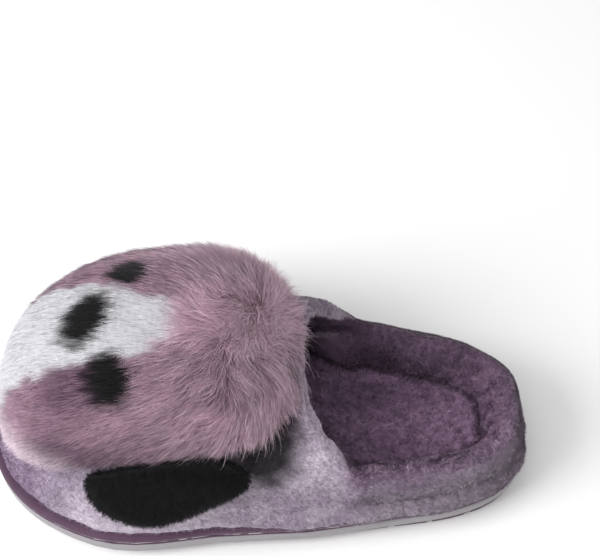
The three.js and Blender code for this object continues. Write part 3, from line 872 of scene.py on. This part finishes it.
def nap(name, obj, count, weight, colour, length, width, lift, curl, segments, material, slot, seed,
        comb=None, bunch=0.0, body="slipper", tone=None, tufts=0.0, vary=0.25, roll=0.7):
    """Short pile over part of a surface; tone shades it vertex by vertex, tufts one clump from the next."""
    roots, normals, read = scatter(obj, count, seed, weight)
    rng = np.random.default_rng(seed + 1)
    if comb is None:
        comb = np.stack([waves(roots, 8 * MM, seed + k) for k in (2, 3, 4)], axis=1)
        comb = comb + rng.normal(scale=0.5, size=roots.shape)
    else:
        comb = np.broadcast_to(comb, roots.shape) + rng.normal(scale=0.35, size=roots.shape)
    long = length * rng.uniform(0.7, 1.2, count)
    slope = np.ones(count)
    points = strands(roots, normals, comb, long, (lift[0] * slope, lift[1] * slope), curl, segments, seed + 5)
    own = colour(roots) * rng.uniform(1 - vary, 1 + vary, (count, 1))
    if bunch:
        points, leader = clump(points, 0.08, bunch, seed + 6)
        own = own * (1 + tufts * rng.uniform(-1, 1, count))[leader][:, None]
    if tone is not None:
        own = own * read(tone)
    # Painted shade at the root of each fibre: darker roots, lighter tips.
    obj = ribbons(name, points, normals, width * rng.uniform(0.7, 1.3, count), own * 0.75, own * 1.15, seed + 7,
                  roll)
    return dress(obj, material, body)


# Footbed: dense fine nap, with painted shade in the groove.
nap("footbed_nap", footbed, 32000, footbed_top, plush_colour, length=3.0 * MM, width=0.28 * MM,
    lift=(1.2, 0.5), curl=0.5, segments=3, material=plushy, slot="mauve_plush", seed=80, bunch=0.55, tufts=0.35,
    tone=speckle(footbed, 0.24, 85) * (1 - 0.5 * groove[:, None]))

# Collar: the same nap on its inner side, running out over the crest in tufts that a painted highlight makes
# pale on the lateral side; painted shade darkens the far wall.
places, normals, _ = arrays(upper)
above_floor = ramp(places[:, 2], rim_top + 3 * MM, rim_top + 6 * MM)
# Painted highlight on the crest, on the lateral side only.
crest_highlight = ramp(normals[:, 2], 0.5, 0.95) * in_heel * ramp(places[:, 0], -0.03, 0.02)
# Painted shade on the far wall.
far_wall_shade = 1 - 0.24 * ramp(-places[:, 0], 5 * MM, 35 * MM)[:, None]
nap("collar_nap", upper, 30000, (1 - 0.85 * upper_outside) * in_heel * above_floor * (upper_outside < 0.95),
    lambda p: plush_colour(p) * 1.1, length=2.6 * MM, width=0.26 * MM,
    lift=(1.2, 0.3), curl=0.5, segments=3, material=plushy, slot="mauve_plush", seed=90, bunch=0.55, tufts=0.3,
    tone=speckle(upper, 0.2, 95) * (0.82 + crest_highlight[:, None] * [0.42, 0.58, 0.42]) * far_wall_shade)

# Vamp lining: seen in the shade through the opening.
nap("vamp_lining_nap", upper, 16000, (1 - upper_outside) * (1 - in_heel), lining_with_painted_shade,
    length=2.4 * MM, width=0.3 * MM, lift=(1.1, 0.3), curl=0.5, segments=2,
    material=plushy, slot="mauve_plush", seed=100, bunch=0.5)

# Velour: a fine nap brushed towards the toe.
velour = {"curl": 0.3, "segments": 2, "material": velvety, "slot": "mauve_velour",
          "comb": TOEWARD * 0.5 + UP, "tone": velour_tone, "vary": 0.3, "roll": 0.3}
nap("vamp_nap", upper, 49000, upper_outside * (1 - in_heel), velour_colour,
    length=1.6 * MM, width=0.25 * MM, lift=(0.7, 0.25), seed=110, **velour)
nap("heel_nap", upper, 30000, upper_outside * in_heel, velour_colour,
    length=1.8 * MM, width=0.22 * MM, lift=(0.9, 0.3), seed=120, **velour)

# ---------------------------------------------------------------- ears

for side, obj in ears.items():
    joined = [f"ear_{side}_pile", f"ear_{side}_backing"]
    places, normals, _ = arrays(obj)
    paint(obj, "Pile", np.broadcast_to(BLACK, places.shape))
    dress(obj, inky, f"ear_{side}", joined)
    nap(f"ear_{side}_nap", obj, 15000, None, lambda p: np.broadcast_to(BLACK, p.shape),
        length=3.2 * MM, width=0.24 * MM, lift=(0.8, 0.25), curl=0.3, segments=3,
        material=inky, slot="black_pile", seed=130 if side == "lateral" else 140,
        comb=TOEWARD * 0.3 - UP, bunch=0.4, body=f"ear_{side}")

# ---------------------------------------------------------------- sole

white = foam_material("white_foam", WHITE_FOAM, grain=900, contrast=0.05, roughness=0.6)
dark = foam_material("dark_foam", DARK_FOAM, grain=900, contrast=0.12, roughness=0.62)
for name, node, bevel, look, slot in (
    ("midsole_foam", "midsole_band", 0.4 * MM, white, "white_foam"),
    ("rim_foam", "sole_rim", 0.35 * MM, dark, "dark_foam"),
    ("tread_foam", "outsole_tread", 0.3 * MM, dark, "dark_foam"),
):
    dress(crisp_copy(name, node, bevel), look, replaces=[node])

thread = Shader("stitching", roughness=0.7, specular=0.3, sheen=0.2)
dashes = thread.scaled(thread.noise(220), 0.12, 1.0, 0.44, 0.54)
thread.colour(thread.times(thread.mixed(thread.cells(1500), THREAD, THREAD_DARK), dashes))
thread.bump(thread.cells(1500), 0.6, 0.2 * MM)

inner_foam = weave_material("padding", PADDING)
fibre_board = weave_material("fibre_board", BOARD)
for node, look in (("sole_stitch", thread.material), ("insole_board", fibre_board),
                   ("footbed_foam", inner_foam), ("head_stuffing", inner_foam)):
    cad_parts[node].data.materials.clear()
    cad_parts[node].data.materials.append(look)

# ---------------------------------------------------------------- floor, light, camera

floor_mesh = bpy.data.meshes.new("floor")
corners = [(x * FLOOR_REACH, y * FLOOR_REACH, 0) for x, y in ((-1, -1), (1, -1), (1, 1), (-1, 1))]
floor_mesh.from_pydata(corners, [], [(0, 1, 2, 3)])
floor = link("floor", floor_mesh)
paper = Shader("paper", roughness=0.9, specular=0.1)
paper.colour(paper.times(PAPER, paper.scaled(paper.noise(3), 0.99, 1.0)))
floor_mesh.materials.append(paper.material)


def lamp(name, place, size, power):
    data = bpy.data.lights.new(name, "AREA")
    data.size = size
    data.energy = power
    obj = bpy.data.objects.new(name, data)
    obj.location = place
    obj.rotation_euler = (Vector(LIGHT_AIM) - Vector(place)).to_track_quat("-Z", "Y").to_euler()
    bpy.context.scene.collection.objects.link(obj)


lamp("key", (0.45, -1.15, 1.1), size=0.8, power=20)
lamp("overhead", (0.25, -0.3, 1.6), size=1.2, power=8)

world = bpy.data.worlds.new("studio")
world.use_nodes = True
world.node_tree.nodes["Background"].inputs["Color"].default_value = (1, 1, 1, 1)
world.node_tree.nodes["Background"].inputs["Strength"].default_value = WORLD_STRENGTH
bpy.context.scene.world = world
bpy.context.scene.view_settings.view_transform = "Standard"

camera_data = bpy.data.cameras.new("camera")
camera_data.lens = CAMERA["lens"]
camera_data.sensor_width = CAMERA["sensor"]
camera = bpy.data.objects.new("camera", camera_data)
camera.location = CAMERA["place"]
camera.rotation_euler = (Vector(CAMERA["aim"]) - camera.location).to_track_quat("-Z", "Y").to_euler()
bpy.context.scene.collection.objects.link(camera)
bpy.context.scene.camera = camera
